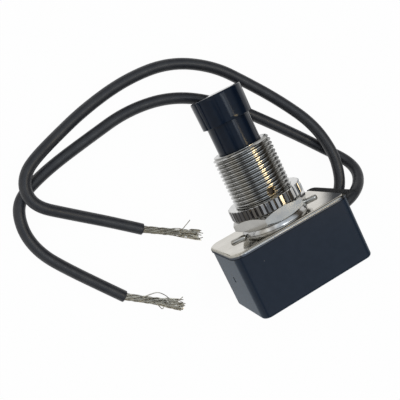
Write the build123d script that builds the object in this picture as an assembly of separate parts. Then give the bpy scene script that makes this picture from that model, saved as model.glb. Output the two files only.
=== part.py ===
from build123d import *
import os
from math import pi, radians, sqrt, tan

# A bushing-mounted pushbutton switch with two loose leads.
# Every piece is drawn upright, button up, with z = 0 on the rim of the housing,
# and is then laid on its long back face, which is how the switch rests.
# All sizes are in millimetres.

# Housing, a moulded cup that is open at its rim
housing_length = 25.4
housing_width = 15.875
housing_height = 12.9
housing_wall = 1.3
housing_floor = 1.4
housing_corner_radius = 1.7
housing_foot_radius = 0.6

# Cover plate with two slots for the twisted tabs
plate_thickness = 1.0
plate_end_overhang = 0.4
plate_front_overhang = 0.4
plate_corner_radius = 2.7
plate_edge_radius = 0.6
slot_length = 3.4
slot_width = 1.3
slot_from_axis = 8.45

# Insulating card under the plate
card_thickness = 0.3
card_clearance = 0.15

# Threaded bushing, staked through the plate and the card
thread_radius = 5.95
thread_engagement = 0.25
thread_length = 15.1
thread_lead_in = 0.4
thread_pitch = 25.4 / 32
thread_depth = 0.45
thread_crest = 0.1
thread_root = 0.15
flange_height = 1.1
flange_step = 0.2
flange_taper = 0.6
spigot_radius = 5.2
lip_overhang = 0.4
lip_height = 0.3
side_hole_radius = 0.6
side_hole_above_ring = 0.95

# Nuts, whose walls are measured at the crest of the thread
hex_wall = 1.2
hex_height = 2.4
hex_face_inset = 0.1
hex_chamfer_rise = 0.7
ring_wall = 1.65
ring_height = 2.1
ring_edge_chamfer = 0.12
flute_count = 48
flute_radius = 0.22
flute_depth = 0.2

# Button: a keyed stem with a pressed-on cap
stem_radius = 4.34
stem_clearance = 0.06
button_travel = 4.8
cap_stop_gap = 0.8
cap_height = 5.6
cap_base_radius = 5.1
cap_top_radius = 5.2
cap_edge_radius = 0.25
peg_radius = 3.0
peg_height = 3.6
foot_radius = 5.4
foot_gap = 0.05
key_width = 2.4
key_wall_gap = 0.3
guide_clearance = 0.15
guide_rib_thickness = 1.0
guide_rib_gap = 0.35

# Ratchet: crown teeth on the rotor and under the stem's foot
tooth_count = 8
tooth_height = 1.0
tooth_width = 2.3
tooth_inner_radius = 3.3
tooth_outer_radius = 5.0
tooth_root = 0.3
tooth_gap = 0.15
rotor_thickness = 1.8
rotor_rim = 0.2
rotor_key_side = 3.4
post_radius = 1.2
post_above_rotor = 1.6
post_clearance = 0.05
shoulder_radius = 1.9
shoulder_gap = 0.05

# Springs, washer and contacts
washer_thickness = 0.4
washer_radius = 3.05
spring_length = 17.6
spring_wire_radius = 0.28
spring_coil_radius = 2.5
spring_turns = 9
spring_bore_radius = 3.0
spring_end_gap = 0.05
spider_thickness = 0.4
spider_reach = 5.4
spider_arm_width = 1.8
spider_hub_radius = 3.0
spider_arms = 4
contact_gap = 0.1
terminal_thickness = 0.6
terminal_width = 2.4
terminal_inner_end = 2.6
riser_width = 1.2

# Leads and the crimps that hold them
lead_radius = 1.15
lead_spacing = 5.2
lead_port_depth = 2.7
lead_port_clearance = 0.1
core_radius = 0.6
core_proud = 0.3
crimp_radius = 1.15
crimp_length = 2.4
crimp_wall_gap = 1.0
strand_start_radius = 0.75
strand_end_radius = 1.1

# Tabs that clinch the plate to the housing
tab_thickness = 0.5
tab_width = 2.4
tab_depth = 7.0
tab_clearance = 0.05
tab_twist_angle = 30
tab_head_length = 3.1
tab_head_width = 0.9
tab_head_height = 0.5
tab_head_edge = 0.2
barb_height = 1.1
barb_depth = 5.5
barb_recess = 0.3
pillar_width = 2.2
pillar_length = 4.5
pillar_top_gap = 0.05

# Heights along the button axis, from the housing's floor to the top of the cap
cavity_floor = housing_floor - housing_height
terminal_top = cavity_floor + terminal_thickness
spider_bottom = terminal_top + contact_gap
rotor_bottom = spider_bottom + spider_thickness
rotor_top = rotor_bottom + rotor_thickness
washer_top = rotor_top + washer_thickness
pillar_top = -card_thickness - pillar_top_gap
tooth_tip = rotor_top + tooth_gap + button_travel
foot_bottom = tooth_tip + tooth_height
lip_bottom = -card_thickness - lip_height
foot_top = lip_bottom - foot_gap
spring_bore_top = washer_top + spring_length
flange_top = plate_thickness + flange_height
hex_top = flange_top + hex_height
ring_top = hex_top + ring_height
bushing_top = flange_top + thread_length
thread_end = bushing_top - thread_lead_in
cap_bottom = bushing_top + button_travel + cap_stop_gap
cap_top = cap_bottom + cap_height

# Sizes that several pieces share
cavity_length = housing_length - 2 * housing_wall
cavity_width = housing_width - 2 * housing_wall
cavity_corner_radius = housing_corner_radius - housing_wall / 2
stem_bore_radius = stem_radius + stem_clearance
engaged_radius = thread_radius - thread_engagement
hex_across_flats = 2 * (thread_radius + hex_wall)
flange_radius = hex_across_flats / 2 - flange_step
ring_radius = thread_radius + ring_wall
lead_axis_height = -lead_port_depth
crimp_outer_end = cavity_length / 2 - crimp_wall_gap
crimp_inner_end = crimp_outer_end - crimp_length

# The laid-down frame: X along the housing, Y along the button, Z up from the surface
rest_middle = (cap_top - housing_height) / 2

# Lead routes in the laid-down frame, from the crimps to the stripped ends,
# and the tips of the bare strands that stick out there
lead_1_route = [
    (10.4, -10.45, 5.34),
    (12.4, -10.45, 5.34),
    (14.9, -10.0, 5.3),
    (16.9, -8.4, 5.2),
    (18.2, -5.6, 5.0),
    (19.0, -1.2, 4.7),
    (17.9, 5.9, 3.8),
    (14.1, 13.1, 2.1),
    (9.7, 19.3, 1.2),
    (4.5, 25.5, 1.2),
    (-3.5, 30.0, 1.2),
    (-13.0, 30.6, 1.2),
    (-22.6, 28.9, 1.2),
    (-30.4, 26.4, 2.0),
    (-35.3, 24.6, 3.2),
    (-37.8, 23.1, 3.7),
    (-39.3, 20.9, 3.9),
    (-39.5, 18.3, 3.9),
    (-38.3, 16.0, 3.6),
    (-35.8, 13.8, 2.7),
    (-31.8, 10.4, 1.6),
    (-27.5, 6.8, 1.2),
    (-23.4, 3.2, 1.2),
]
lead_1_tip = (-13.3, -3.6, 1.2)
lead_2_route = [
    (10.4, -10.45, 10.54),
    (13.0, -10.45, 10.54),
    (16.8, -9.9, 9.8),
    (20.0, -8.8, 7.8),
    (22.0, -6.9, 5.2),
    (21.8, -4.3, 3.0),
    (19.3, -0.8, 1.6),
    (15.5, 4.1, 1.2),
    (9.8, 10.7, 1.2),
    (3.3, 17.8, 1.2),
    (-5.3, 23.6, 1.2),
    (-15.0, 25.2, 1.2),
    (-24.7, 23.6, 1.2),
    (-33.0, 22.1, 1.2),
    (-38.6, 20.4, 1.2),
    (-41.3, 18.9, 1.2),
    (-42.8, 16.4, 1.2),
    (-43.4, 12.4, 1.2),
    (-42.4, 8.0, 1.2),
    (-39.8, 3.6, 1.2),
    (-36.0, -2.0, 1.2),
    (-32.6, -6.9, 1.2),
]
lead_2_tip = (-22.9, -14.7, 1.2)

# How much of the shorter run each rounded corner of a lead takes up
corner_share = 0.45

LOW = (Align.CENTER, Align.CENTER, Align.MIN)


def disc(radius, bottom, top):
    """A round solid about the button axis, between two heights."""
    return Pos(0, 0, bottom) * Cylinder(radius, top - bottom, align=LOW)


def block(length, width, bottom, top):
    """A box centred on the button axis, between two heights."""
    return Pos(0, 0, bottom) * Box(length, width, top - bottom, align=LOW)


def slab(length, width, corner_radius, bottom, top):
    """A box with rounded upright corners, between two heights."""
    outline = RectangleRounded(length, width, corner_radius)
    return extrude(Pos(0, 0, bottom) * outline, amount=top - bottom)


def rod(radius, start, end, across, height):
    """A round bar along X, at a given place across the housing and height."""
    bar = Cylinder(radius, end - start, align=LOW)
    return Pos(start, across, height) * Rot(0, 90, 0) * bar


def lay_down(piece):
    """Turn an upright piece onto the back face and stand it on the surface."""
    return Pos(0, -rest_middle, housing_width / 2) * Rot(-90, 0, 0) * piece


def make_housing():
    """The cup with its pivot post, guide ribs, tab pillars, lead ports and barb windows."""
    cup = slab(housing_length, housing_width, housing_corner_radius, -housing_height, 0)
    cup = fillet(cup.faces().sort_by(Axis.Z)[0].edges(), housing_foot_radius)
    cup -= slab(cavity_length, cavity_width, cavity_corner_radius, cavity_floor, 0)
    cup += disc(shoulder_radius, cavity_floor, spider_bottom - shoulder_gap)
    cup += disc(post_radius, cavity_floor, rotor_top + post_above_rotor)

    rib_face = foot_radius + guide_rib_gap
    rib_width = housing_width / 2 - housing_wall / 2 - rib_face
    rib = block(guide_rib_thickness, rib_width, cavity_floor, pillar_top)
    rib_place = key_width / 2 + guide_clearance + guide_rib_thickness / 2
    for side in (-1, 1):
        for wall in (-1, 1):
            cup += Pos(side * rib_place, wall * (rib_face + rib_width / 2), 0) * rib

    pillar = block(pillar_length + housing_wall / 2, pillar_width, cavity_floor, pillar_top)
    pillar_place = cavity_length / 2 - pillar_length / 2 + housing_wall / 4
    groove_thickness = tab_thickness + 2 * tab_clearance
    groove_inner = slot_from_axis - tab_width / 2 - tab_clearance
    groove_length = cavity_length / 2 - groove_inner
    groove = block(groove_length, groove_thickness, -tab_depth - tab_clearance, 0)
    window = block(2 * housing_wall, groove_thickness, 0, barb_height + 2 * tab_clearance)
    window_low = -barb_depth - barb_height / 2 - tab_clearance
    for end in (-1, 1):
        cup += Pos(end * pillar_place, 0, 0) * pillar
        cup -= Pos(end * (groove_inner + groove_length / 2), 0, 0) * groove
        cup -= Pos(end * housing_length / 2, 0, window_low) * window

    port_radius = lead_radius + lead_port_clearance
    for side in (-1, 1):
        across = side * lead_spacing / 2
        cup -= rod(port_radius, cavity_length / 2 - housing_wall, housing_length, across, lead_axis_height)
    return cup


def make_plate():
    """The cover plate, rounded over along its upper edge, with its bushing hole and slots."""
    length = housing_length + 2 * plate_end_overhang
    width = housing_width + plate_front_overhang
    plate = slab(length, width, plate_corner_radius, 0, plate_thickness)
    plate = fillet(plate.faces().sort_by(Axis.Z)[-1].edges(), plate_edge_radius)
    plate = Pos(0, -plate_front_overhang / 2, 0) * plate
    plate -= disc(spigot_radius, 0, plate_thickness)
    slot = extrude(SlotOverall(slot_length, slot_width), amount=plate_thickness)
    for end in (-1, 1):
        plate -= Pos(end * slot_from_axis, 0, 0) * slot
    return plate


def make_card():
    """The insulating card that keeps the plate away from the live pieces."""
    length = cavity_length - 2 * card_clearance
    width = cavity_width - 2 * card_clearance
    card = slab(length, width, cavity_corner_radius, -card_thickness, 0)
    card -= disc(spigot_radius + card_clearance, -card_thickness, 0)
    hole_length = tab_width + 2 * card_clearance
    hole_width = tab_thickness + 2 * card_clearance
    hole = block(hole_length, hole_width, -card_thickness, 0)
    for end in (-1, 1):
        card -= Pos(end * slot_from_axis, 0, 0) * hole
    return card


def make_thread():
    """The free thread in front of the nuts: a row of grooves at the thread's pitch and a lead-in."""
    root_radius = thread_radius - thread_depth
    opening = thread_pitch - thread_crest
    flank = (opening - thread_root) / 2
    turns = int((thread_end - ring_top) / thread_pitch)
    first_groove = (ring_top + thread_end - turns * thread_pitch + thread_crest) / 2
    outline = [(0, ring_top), (thread_radius, ring_top)]
    for turn in range(turns):
        groove = first_groove + turn * thread_pitch
        outline.append((thread_radius, groove))
        outline.append((root_radius, groove + flank))
        outline.append((root_radius, groove + flank + thread_root))
        outline.append((thread_radius, groove + opening))
    outline.append((thread_radius, thread_end))
    outline.append((thread_radius - thread_lead_in, bushing_top))
    outline.append((0, bushing_top))
    return revolve(make_face(Plane.XZ * Polyline(*outline, close=True)), Axis.Z)


def make_bushing():
    """The turned bushing: staked lip, spigot, flange, and a thread that is plain in the nuts."""
    barrel = make_thread() + disc(engaged_radius, flange_top, ring_top)
    flange = Pos(0, 0, plate_thickness) * Cone(
        flange_radius, flange_radius - flange_taper, flange_height, align=LOW
    )
    bushing = barrel + flange
    bushing += disc(spigot_radius, -card_thickness, plate_thickness)
    bushing += disc(spigot_radius + lip_overhang, lip_bottom, -card_thickness)
    bushing -= disc(stem_bore_radius, lip_bottom, bushing_top)
    side_hole = Rot(90, 0, 0) * Cylinder(side_hole_radius, thread_radius, align=LOW)
    return bushing - Pos(0, 0, ring_top + side_hole_above_ring) * side_hole


def make_hex_nut():
    """The back nut, chamfered on both faces."""
    prism = RegularPolygon(hex_across_flats / 2, 6, major_radius=False)
    nut = extrude(Pos(0, 0, flange_top) * prism, amount=hex_height)
    face_radius = hex_across_flats / 2 - hex_face_inset
    corner_radius = hex_across_flats / sqrt(3)
    profile = Polyline(
        (0, flange_top),
        (face_radius, flange_top),
        (corner_radius, flange_top + hex_chamfer_rise),
        (corner_radius, hex_top - hex_chamfer_rise),
        (face_radius, hex_top),
        (0, hex_top),
        close=True,
    )
    turned = revolve(make_face(Plane.XZ * profile), Axis.Z)
    return (nut & turned) - disc(engaged_radius, flange_top, hex_top)


def make_ring_nut():
    """The fluted ring nut that clamps the panel from the front."""
    nut = disc(ring_radius, hex_top, ring_top)
    nut = chamfer(nut.edges().filter_by(GeomType.CIRCLE), ring_edge_chamfer)
    flute = disc(flute_radius, hex_top, ring_top)
    flutes = PolarLocations(ring_radius + flute_radius - flute_depth, flute_count) * flute
    nut -= flutes
    return nut - disc(engaged_radius, hex_top, ring_top)


def crown_teeth(outline, height):
    """A ring of ratchet teeth whose outline is drawn along the pitch and up the axis."""
    reach = tooth_outer_radius - tooth_inner_radius
    face = make_face(Plane.YZ.offset(tooth_inner_radius - tooth_root) * Polyline(*outline, close=True))
    tooth = Pos(0, 0, height) * extrude(face, amount=reach + 2 * tooth_root, dir=(1, 0, 0))
    low = height - tooth_height - tooth_root
    high = height + 2 * tooth_height + tooth_root
    ring = disc(tooth_outer_radius, low, high) - disc(tooth_inner_radius, low, high)
    return PolarLocations(0, tooth_count) * (tooth & ring)


def make_rotor():
    """The ratchet rotor with a square key for the contact spider."""
    rotor = disc(tooth_outer_radius + rotor_rim, rotor_bottom, rotor_top)
    rotor += block(rotor_key_side, rotor_key_side, spider_bottom, rotor_bottom)
    outline = [
        (0, -tooth_root),
        (0, tooth_height),
        (tooth_width, 0),
        (tooth_width, -tooth_root),
    ]
    rotor += crown_teeth(outline, rotor_top)
    return rotor - disc(post_radius + post_clearance, spider_bottom, rotor_top + tooth_height)


def make_spider():
    """The sprung contact that turns with the rotor and bridges the terminals."""
    spider = disc(spider_hub_radius, spider_bottom, rotor_bottom)
    arm = block(2 * spider_reach, spider_arm_width, spider_bottom, rotor_bottom)
    for turn in range(spider_arms // 2):
        spider += Rot(0, 0, turn * 360 / spider_arms) * arm
    spider &= disc(spider_reach, spider_bottom, rotor_bottom)
    return spider - block(rotor_key_side, rotor_key_side, spider_bottom, rotor_bottom)


def make_washer():
    """The thrust washer between the rotor and the return spring."""
    washer = disc(washer_radius, rotor_top, washer_top)
    return washer - disc(post_radius + post_clearance, rotor_top, washer_top)


def make_spring():
    """The return spring, from the washer to the end of its bore in the stem."""
    bottom = washer_top + spring_end_gap + spring_wire_radius
    height = spring_length - 2 * (spring_end_gap + spring_wire_radius)
    coil = Helix(height / spring_turns, height, spring_coil_radius)
    section = Plane(origin=coil @ 0, z_dir=coil % 0) * Circle(spring_wire_radius)
    return Pos(0, 0, bottom) * sweep(section, path=coil, is_frenet=True)


def make_stem():
    """The button's stem: a peg for the cap, a keyed foot and the driving teeth."""
    stem = disc(stem_radius, foot_bottom, cap_bottom)
    stem += disc(peg_radius, cap_bottom, cap_bottom + peg_height)
    stem += disc(foot_radius, foot_bottom, foot_top)
    key_length = cavity_width - 2 * key_wall_gap
    stem += block(key_width, key_length, foot_bottom, foot_top)
    outline = [
        (-tooth_gap, 0),
        (-tooth_gap, tooth_height + tooth_root),
        (-tooth_gap - tooth_width, tooth_height + tooth_root),
        (-tooth_gap - tooth_width, tooth_height),
    ]
    stem += crown_teeth(outline, tooth_tip)
    return stem - disc(spring_bore_radius, tooth_tip, spring_bore_top)


def make_cap():
    """The button's cap, a little wider at the top, pressed onto the stem's peg."""
    cap = Pos(0, 0, cap_bottom) * Cone(cap_base_radius, cap_top_radius, cap_height, align=LOW)
    cap = fillet(cap.edges().sort_by(Axis.Z)[-1], cap_edge_radius)
    return cap - disc(peg_radius, cap_bottom, cap_bottom + peg_height)


def make_terminal(side):
    """A fixed contact on the floor with a riser and the crimp that holds a lead."""
    across = side * lead_spacing / 2
    outer_end = (crimp_inner_end + crimp_outer_end) / 2
    length = outer_end - terminal_inner_end
    pad = block(length, terminal_width, cavity_floor, terminal_top)
    terminal = Pos(terminal_inner_end + length / 2, across, 0) * pad
    riser = block(terminal_thickness, riser_width, cavity_floor, lead_axis_height)
    terminal += Pos(outer_end - terminal_thickness / 2, across, 0) * riser
    terminal += rod(crimp_radius, crimp_inner_end, crimp_outer_end, across, lead_axis_height)
    return terminal - rod(core_radius, crimp_inner_end, crimp_outer_end, across, lead_axis_height)


def make_core(side):
    """The stripped inner end of a lead, held in its crimp."""
    across = side * lead_spacing / 2
    return rod(core_radius, crimp_inner_end - core_proud, crimp_outer_end, across, lead_axis_height)


def make_tab(end):
    """A twisted tab: strip, barb in the end wall's window and a head above the plate."""
    strip = block(tab_width, tab_thickness, -tab_depth, plate_thickness)
    strip = Pos(slot_from_axis, 0, 0) * strip
    barb_inner = slot_from_axis
    barb_outer = housing_length / 2 - barb_recess
    barb = block(barb_outer - barb_inner, tab_thickness, 0, barb_height)
    strip += Pos((barb_inner + barb_outer) / 2, 0, -barb_depth - barb_height / 2) * barb
    head = extrude(SlotOverall(tab_head_length, tab_head_width), amount=tab_head_height)
    head = fillet(head.faces().sort_by(Axis.Z)[-1].edges(), tab_head_edge)
    strip += Pos(slot_from_axis, 0, plate_thickness) * Rot(0, 0, tab_twist_angle) * head
    return Rot(0, 0, 0 if end > 0 else 180) * strip


def make_lead(name, route):
    """A lead's insulation: straight runs joined by the largest tangent arcs that fit."""
    points = [Vector(*point) for point in route]
    runs = [after - before for before, after in zip(points, points[1:])]
    radii = []
    for before, after in zip(runs, runs[1:]):
        half_turn = radians(before.get_angle(after)) / 2
        radii.append(corner_share * min(before.length, after.length) / tan(half_turn))
    path = FilletPolyline(*points, radius=radii)
    section = Plane(origin=path @ 0, z_dir=path % 0) * Circle(lead_radius)
    tube = sweep(section, path=path)
    expected = pi * lead_radius**2 * path.length
    print(name, "radii", [round(radius, 1) for radius in radii])
    print(name, "length", round(path.length, 1), "volume ratio", round(tube.volume / expected, 4))
    return tube


def make_strands(route, tip):
    """The bundle of bare strands, from the end of a lead's insulation to its tip."""
    end = Vector(*route[-1])
    lead_heading = end - Vector(*route[-2])
    strand_heading = Vector(*tip) - end
    start_face = Plane(origin=end, z_dir=lead_heading) * Circle(strand_start_radius)
    tip_face = Plane(origin=tip, z_dir=strand_heading) * Circle(strand_end_radius)
    return loft([start_face, tip_face])


upright_pieces = {
    "housing": make_housing(),
    "mounting_plate": make_plate(),
    "insulating_card": make_card(),
    "threaded_bushing": make_bushing(),
    "hex_nut": make_hex_nut(),
    "ring_nut": make_ring_nut(),
    "button_stem": make_stem(),
    "button_cap": make_cap(),
    "return_spring": make_spring(),
    "thrust_washer": make_washer(),
    "ratchet_rotor": make_rotor(),
    "contact_spider": make_spider(),
    "terminal_1": make_terminal(1),
    "terminal_2": make_terminal(-1),
    "lead_1_core": make_core(1),
    "lead_2_core": make_core(-1),
    "plate_tab_left": make_tab(-1),
    "plate_tab_right": make_tab(1),
}

pieces = {name: lay_down(piece) for name, piece in upright_pieces.items()}
pieces["lead_1"] = make_lead("lead_1", lead_1_route)
pieces["lead_2"] = make_lead("lead_2", lead_2_route)
pieces["lead_1_strands"] = make_strands(lead_1_route, lead_1_tip)
pieces["lead_2_strands"] = make_strands(lead_2_route, lead_2_tip)

os.makedirs("parts", exist_ok=True)
for name, piece in pieces.items():
    export_step(piece, f"parts/{name}.step")
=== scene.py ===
"""Looks of the bushing-mounted pushbutton switch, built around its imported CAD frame.

Sizes in the classes are in millimetres, in the frame of the part: X runs along the housing, Y along the
button and Z up from the surface that the switch lies on. Meshes are made in metres.
"""

import logging
import math
import random
from dataclasses import dataclass, field
from enum import Enum
from functools import partial, reduce
from typing import ClassVar, Sequence

import bmesh
import bpy
from mathutils import Matrix, Vector


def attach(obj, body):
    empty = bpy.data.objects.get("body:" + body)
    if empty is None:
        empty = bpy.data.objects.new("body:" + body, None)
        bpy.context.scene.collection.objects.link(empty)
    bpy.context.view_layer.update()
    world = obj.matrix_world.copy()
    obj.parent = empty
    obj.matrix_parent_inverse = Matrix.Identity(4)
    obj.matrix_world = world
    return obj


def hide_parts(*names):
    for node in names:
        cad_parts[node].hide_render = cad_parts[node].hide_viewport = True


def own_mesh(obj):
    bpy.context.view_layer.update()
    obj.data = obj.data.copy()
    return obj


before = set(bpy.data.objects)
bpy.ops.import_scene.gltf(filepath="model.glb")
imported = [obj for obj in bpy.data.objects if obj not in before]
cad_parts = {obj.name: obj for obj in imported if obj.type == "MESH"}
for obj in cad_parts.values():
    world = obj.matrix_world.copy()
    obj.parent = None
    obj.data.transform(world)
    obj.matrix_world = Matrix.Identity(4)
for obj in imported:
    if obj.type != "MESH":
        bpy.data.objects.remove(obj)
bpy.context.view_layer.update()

LOG = logging.getLogger("switch_looks")
MM = 0.001
AXIS_HEIGHT = 7.9375
SAME_POINT = 2e-7
NO_LENGTH = 1e-7

Colour = tuple[float, float, float]
Point = tuple[float, float, float]
Span = tuple[float, float]
Profile = tuple[Span, ...]
Rings = list[list[Vector]]
Piece = bpy.types.Object
Socket = bpy.types.NodeSocket
Value = Socket | float | Colour


class Body(Enum):
    """The bodies of the frame that new pieces ride on."""

    BASE = "base"
    BUTTON = "button"


class Slot(Enum):
    """Names of material slots for the new pieces' finishes."""

    BUTTON = "button_plastic"
    PLATE = "plated_steel"
    THREAD = "plated_thread"
    NUT = "plated_nut"
    LEAD = "lead_insulation"
    STRAND = "tinned_copper"
    SPRING = "spring_wire"


class Crease(Enum):
    """The angle in degrees above which a mesh edge is shaded as sharp."""

    CRISP = 28.0
    SOFT = 50.0


def turns(count: int) -> list[float]:
    """Give the angles of a full turn in equal steps, in radians."""
    return [math.tau * k / count for k in range(count)]


def on_axis(radius: float, along: float, turn: float) -> Vector:
    """Give the point at a radius and a place on the button's axis, turned from up towards +X."""
    return Vector((radius * math.sin(turn), along, AXIS_HEIGHT + radius * math.cos(turn)))


def smooth_step(low: float, high: float, value: float) -> float:
    """Give 0 below low, 1 above high and an eased share between them."""
    share = min(1.0, max(0.0, (value - low) / (high - low)))
    return share * share * (3.0 - 2.0 * share)


def add_object(name: str, data: bpy.types.ID) -> Piece:
    """Put a new object into the scene.

    Args:
        name: The object's name.
        data: Its mesh, curve, light or camera.

    Returns:
        The object.
    """
    made = bpy.data.objects.new(name, data)
    bpy.context.scene.collection.objects.link(made)
    return made


@dataclass
class Draft:
    """Points and faces of one mesh while it is drawn, in millimetres."""

    points: list[Vector] = field(default_factory=list)
    faces: list[tuple[int, ...]] = field(default_factory=list)

    def add_rings(self, rings: Rings, close_ends: bool = False, loop: bool = False) -> None:
        """Join closed rings of equal count with quads.

        Args:
            rings: The rings, in order.
            close_ends: Whether the first and the last ring get a cap.
            loop: Whether the last ring is joined to the first.
        """
        start, count = len(self.points), len(rings[0])
        last = start + (len(rings) - 1) * count
        for ring in rings:
            self.points.extend(ring)
        for low in range(len(rings) if loop else len(rings) - 1):
            a, b = start + low * count, start + (low + 1) % len(rings) * count
            for k in range(count):
                nxt = (k + 1) % count
                self.faces.append((a + k, a + nxt, b + nxt, b + k))
        if close_ends:
            self.faces.append(tuple(reversed(range(start, start + count))))
            self.faces.append(tuple(range(last, last + count)))

    def add_sections(self, sections: Rings) -> None:
        """Join the closed sections of a ring-shaped body, one for each angle around it."""
        self.add_rings([list(row) for row in zip(*sections)], loop=True)

    def add_sheet(self, rows: Rings) -> None:
        """Join open rows of equal count into a closed slab, with its two ends filled.

        Args:
            rows: The rows, once round the slab.
        """
        start, count = len(self.points), len(rows[0])
        for row in rows:
            self.points.extend(row)
        for low in range(len(rows)):
            high = (low + 1) % len(rows)
            for k in range(count - 1):
                a, b = start + low * count + k, start + high * count + k
                self.faces.append((a, a + 1, b + 1, b))
        for k in (0, count - 1):
            for low in range(len(rows) // 2 - 1):
                a, b = start + low * count + k, start + (len(rows) - 1 - low) * count + k
                self.faces.append((a, a + count, b - count, b))

    def to_object(self, name: str, crease: Crease) -> Piece:
        """Make the mesh object, cleaned and shaded.

        Args:
            name: The piece's name.
            crease: The angle above which an edge is sharp.

        Returns:
            The object.
        """
        mesh = bpy.data.meshes.new(name)
        mesh.from_pydata([tuple(p * MM) for p in self.points], [], self.faces)
        shape = bmesh.new()
        shape.from_mesh(mesh)
        bmesh.ops.remove_doubles(shape, verts=shape.verts, dist=SAME_POINT)
        bmesh.ops.dissolve_degenerate(shape, edges=shape.edges, dist=NO_LENGTH)
        bmesh.ops.recalc_face_normals(shape, faces=shape.faces)
        shape.to_mesh(mesh)
        shape.free()
        piece = add_object(name, mesh)
        shade(piece, crease)
        return piece


def shade(piece: Piece, crease: Crease) -> None:
    """Shade a piece smoothly, with sharp edges where its faces meet at a wide angle.

    Args:
        piece: The mesh object.
        crease: The angle above which an edge is sharp.
    """
    shape = bmesh.new()
    shape.from_mesh(piece.data)
    for face in shape.faces:
        face.smooth = True
    for edge in shape.edges:
        edge.smooth = edge.calc_face_angle(0.0) <= math.radians(crease.value)
    shape.to_mesh(piece.data)
    shape.free()


def sweep(path: Sequence[Vector], radii: Sequence[float], sides: int) -> tuple[Rings, Matrix]:
    """Draw rings along a path that starts out level, turned as little as the path allows.

    Args:
        path: Points of the centre line.
        radii: The radius at each point.
        sides: Points in each ring.

    Returns:
        The rings, and the last ring's frame with its columns across, up, along and place.
    """
    rings: Rings = []
    across = Vector((0.0, 0.0, 1.0))
    along = Vector((1.0, 0.0, 0.0))
    for i, (point, radius) in enumerate(zip(path, radii)):
        along = (path[min(i + 1, len(path) - 1)] - path[max(i - 1, 0)]).normalized()
        across = (across - along * across.dot(along)).normalized()
        up = along.cross(across)
        rings.append([point + radius * (math.cos(turn) * across + math.sin(turn) * up)
                      for turn in turns(sides)])
    end = Matrix((across, along.cross(across), along)).transposed().to_4x4()
    end.translation = path[-1]
    return rings, end


class NodeBoard:
    """A node tree, with short calls for the nodes that the finishes and the surroundings share.

    Attributes:
        MIX_INPUTS: Numbers of a colour mix's inputs for the share and the two colours.
        MIX_RESULT: Number of its output.
    """

    MIX_INPUTS: ClassVar[tuple[int, int, int]] = (0, 6, 7)
    MIX_RESULT: ClassVar[int] = 2

    def __init__(self, tree: bpy.types.NodeTree, coords: str) -> None:
        """Take over a tree whose textures read the coordinates of that name."""
        self.tree = tree
        self.place = self.node("TexCoord").outputs[coords]

    def fill(self, node: bpy.types.Node, inputs: dict[str | int, Value]) -> None:
        """Link or set a node's inputs.

        Args:
            node: The node.
            inputs: A socket to link, or a fixed value, for each input by its name or number.
        """
        for name, value in inputs.items():
            target = node.inputs[name]
            if isinstance(value, bpy.types.NodeSocket):
                self.tree.links.new(value, target)
            else:
                target.default_value = (*value, 1.0) if target.type == "RGBA" else value

    def node(self, kind: str, inputs: dict[str | int, Value] | None = None,
             **options: str) -> bpy.types.Node:
        """Add a node.

        Args:
            kind: The node's type, without the prefix that all of them have.
            inputs: What goes into each input, as for fill.
            options: The node's options by name.

        Returns:
            The node.
        """
        made = self.tree.nodes.new("ShaderNode" + kind)
        for name, option in options.items():
            setattr(made, name, option)
        self.fill(made, inputs or {})
        return made

    def axis(self, source: Socket, name: str) -> Socket:
        """Give one axis of a vector."""
        return self.node("SeparateXYZ", {"Vector": source}).outputs[name]

    def reckon(self, operation: str, first: Socket, second: Socket | float = 0.0) -> Socket:
        """Work out the sum of that name."""
        return self.node("Math", {0: first, 1: second}, operation=operation).outputs[0]

    def facing(self, axis: str, span: Span, into: Span) -> Socket:
        """Map how squarely the surface faces along an axis, either way, from 0 edge-on to 1 square."""
        normal = self.node("NewGeometry").outputs["Normal"]
        return self.spread(self.reckon("ABSOLUTE", self.axis(normal, axis)), span, into)

    def stretched(self, scale: Point) -> Socket:
        """Give the object's coordinates with each axis scaled."""
        return self.node("Mapping", {"Scale": scale, "Vector": self.place}).outputs["Vector"]

    def noise(self, size: float, detail: float, coords: Socket | None = None) -> Socket:
        """Give noise from 0 to 1, with features of a size in millimetres and some finer layers."""
        inputs = {"Scale": 1.0 / (size * MM), "Detail": detail, "Vector": coords or self.place}
        return self.node("TexNoise", inputs).outputs["Fac"]

    def spots(self, cell: float) -> Socket:
        """Give the distance to the nearest of scattered points, in cells of a size in millimetres."""
        inputs = {"Scale": 1.0 / (cell * MM), "Vector": self.place}
        return self.node("TexVoronoi", inputs).outputs["Distance"]

    def attribute(self, name: str) -> Socket:
        """Give a mesh attribute's value."""
        return self.node("Attribute", attribute_name=name).outputs["Fac"]

    def spread(self, source: Socket, span: Span, into: Span, eased: bool = False) -> Socket:
        """Map a span of values into another, clamped, with a soft start and end if it is eased."""
        inputs = dict(zip(("Value", "From Min", "From Max", "To Min", "To Max"), (source, *span, *into)))
        return self.node("MapRange", inputs,
                         interpolation_type="SMOOTHSTEP" if eased else "LINEAR").outputs["Result"]

    def ramp(self, source: Socket, span: Span, colours: tuple[Colour, Colour]) -> Socket:
        """Colour a field between two levels.

        Args:
            source: The field.
            span: The levels.
            colours: The colour at each of them.

        Returns:
            The colour.
        """
        made = self.node("ValToRGB", {"Fac": source})
        for mark, place, colour in zip(made.color_ramp.elements, span, colours):
            mark.position = place
            mark.color = (*colour, 1.0)
        return made.outputs["Color"]

    def blend(self, share: Socket, first: Socket | Colour, second: Socket | Colour) -> Socket:
        """Blend two colours by the share of the second."""
        inputs = dict(zip(self.MIX_INPUTS, (share, first, second)))
        return self.node("Mix", inputs, data_type="RGBA").outputs[self.MIX_RESULT]

    def bump(self, height: Socket, depth: float, below: Socket | None = None) -> Socket:
        """Turn a height field of a depth in millimetres into a normal, over another if there is one."""
        inputs = {"Strength": 1.0, "Distance": depth * MM, "Height": height}
        return self.node("Bump", {**inputs, "Normal": below} if below else inputs).outputs["Normal"]


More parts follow.
